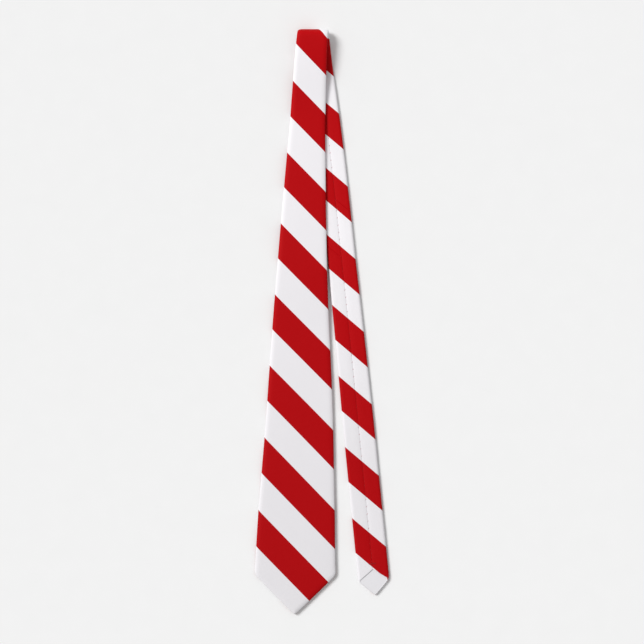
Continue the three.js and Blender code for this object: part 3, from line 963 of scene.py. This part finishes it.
for name, side, nodes in (("keeperLoopLeft", -1, ["keeper_loop_tab_left", "keeper_loop_band"]),
                          ("keeperLoopRight", 1, ["keeper_loop_tab_right", "keeper_loop_band"])):
    blendEnds = keeperHalf(name, side, nodes)
    keeperStitches(name.replace("Loop", "Stitches"), side)
    lines = tackLines(side * keeper["tackAt"] - side * 1.2, backSide - 0.5, keeperAt,
                      keeper["width"] - 1.5, 1.8, acrossStrip=False)
    tack = threadPiece(name.replace("Loop", "Tack"), lines, sewing["tackRadius"],
                       ["keeper_tack_left" if side < 0 else "keeper_tack_right"])
    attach(tack, "front_lower")

# Blank woven label above the keeper, and the care label below it.
label = {"fromPoint": 250.0, "span": 50.0, "width": 24.0, "w": -2.42, "thick": 0.26,
         "careFromPoint": 212.0, "careSpan": 26.0, "careLength": 38.0, "careOffset": -24.0,
         "stitchLong": 1.7, "stitchGap": 0.8, "thread": 0.12}


def labelPiece(name, u, s, bow, nodes, columns=15, rows=15):
    across, along = np.linspace(*u, columns)[None, :], np.linspace(*s, rows)[:, None]
    uGrid, sGrid = across + 0 * along, along + 0 * across
    t = (sGrid - s[0]) / (s[1] - s[0])
    w = label["w"] - bow * np.sin(math.pi * t) * np.cos(uGrid / 9)
    cloth = np.stack([uGrid, sGrid], axis=-1) * mm
    points = layPoint(uGrid, w, sGrid)
    piece = meshPiece(name, points, cloth, 0 * w, [labelMaterial], label["thick"], offset=0.0)
    declared(piece)
    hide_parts(*nodes)
    return piece


def runningLine(u, s, fixed, w):
    pitch = label["stitchLong"] + label["stitchGap"]
    lines = []
    for start in np.arange(*s, pitch):
        at = start + np.linspace(0, min(label["stitchLong"], s[1] - start), 5)
        dip = 0.12 * np.array([1, 0.2, 0, 0.2, 1])
        lines.append([((u, w + d, x) if fixed == "u" else (x, w + d, u)) for x, d in zip(at, dip)])
    return lines


labelAt = strip["frontLength"] - label["fromPoint"]
labelEnds = (-label["span"] / 2, label["span"] / 2)
backLabel = labelPiece("backLabel", labelEnds, (labelAt - label["width"] / 2, labelAt + label["width"] / 2),
                       0.04, ["back_label"])
acrossJoint(backLabel)
for name, side, node in (("labelStitchLeft", -1, "label_stitch_left"),
                         ("labelStitchRight", 1, "label_stitch_right")):
    span = (labelAt - label["width"] / 2 + 0.8, labelAt + label["width"] / 2 - 0.8)
    lines = runningLine(side * (label["span"] / 2 - 1.1), span, "u", label["w"] - label["thick"] / 2 - 0.03)
    labelStitch = threadPiece(name, lines, label["thread"], [node], sides=5)
    acrossJoint(labelStitch)

careAt = strip["frontLength"] - label["careFromPoint"]
careEnds = (label["careOffset"] - label["careSpan"] / 2, label["careOffset"] + label["careSpan"] / 2)
careLabel = labelPiece("careLabel", careEnds, (careAt, careAt + label["careLength"]), 0.1,
                       ["care_label_tab", "care_label_flap"], rows=31)
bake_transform(careLabel)
lines = runningLine(careAt + 1.3, (careEnds[0] + 0.8, careEnds[1] - 0.8), "s",
                    label["w"] - label["thick"] / 2 - 0.03)
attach(threadPiece("careLabelStitch", lines, label["thread"], [], sides=5), "front_lower")
print("keeper and labels made")

# Studio: a wide pale floor, an even pale sky and soft light from the upper left.
studio = {"floorSize": 12.0, "floorTone": 0.8, "sky": 0.52, "key": 2.70, "keyFrom": (-1.0, 0.62, 1.12),
          "keyAngle": 24.0}
floorMesh = bpy.data.meshes.new("floor")
reach = studio["floorSize"]
floorMesh.from_pydata([(-reach, -reach, 0), (reach, -reach, 0), (reach, reach, 0), (-reach, reach, 0)], [],
                      [(0, 1, 2, 3)])
floor = bpy.data.objects.new("floor", floorMesh)
floor.location.z = -0.0002
scene.collection.objects.link(floor)
floorMaterial = bpy.data.materials.new("floorPaper")
floorMaterial.use_nodes = True
tree = floorMaterial.node_tree
surface = tree.nodes["Principled BSDF"]
surface.inputs["Roughness"].default_value = 0.95
surface.inputs["Specular IOR Level"].default_value = 0.0
grain = addNode(tree, "ShaderNodeTexNoise", {"Scale": 900.0, "Detail": 2.0})
tone = studio["floorTone"]
paper = addNode(tree, "ShaderNodeMapRange", {"Value": grain.outputs[0], "From Min": 0.3, "From Max": 0.7,
                                             "To Min": tone - 0.004, "To Max": tone + 0.004})
tree.links.new(paper.outputs[0], surface.inputs["Base Color"])
floorMesh.materials.append(floorMaterial)

world = bpy.data.worlds.new("studioSky")
scene.world = world
world.use_nodes = True
sky = world.node_tree.nodes["Background"]
sky.inputs["Color"].default_value = (1.0, 1.0, 1.0, 1)
sky.inputs["Strength"].default_value = studio["sky"]
key = bpy.data.objects.new("keyLight", bpy.data.lights.new("keyLight", "SUN"))
key.data.energy = studio["key"]
key.data.angle = math.radians(studio["keyAngle"])
key.rotation_mode = "QUATERNION"
key.rotation_quaternion = Vector(studio["keyFrom"]).to_track_quat("Z", "Y")
scene.collection.objects.link(key)
scene.view_settings.view_transform = "Standard"
print("studio made")
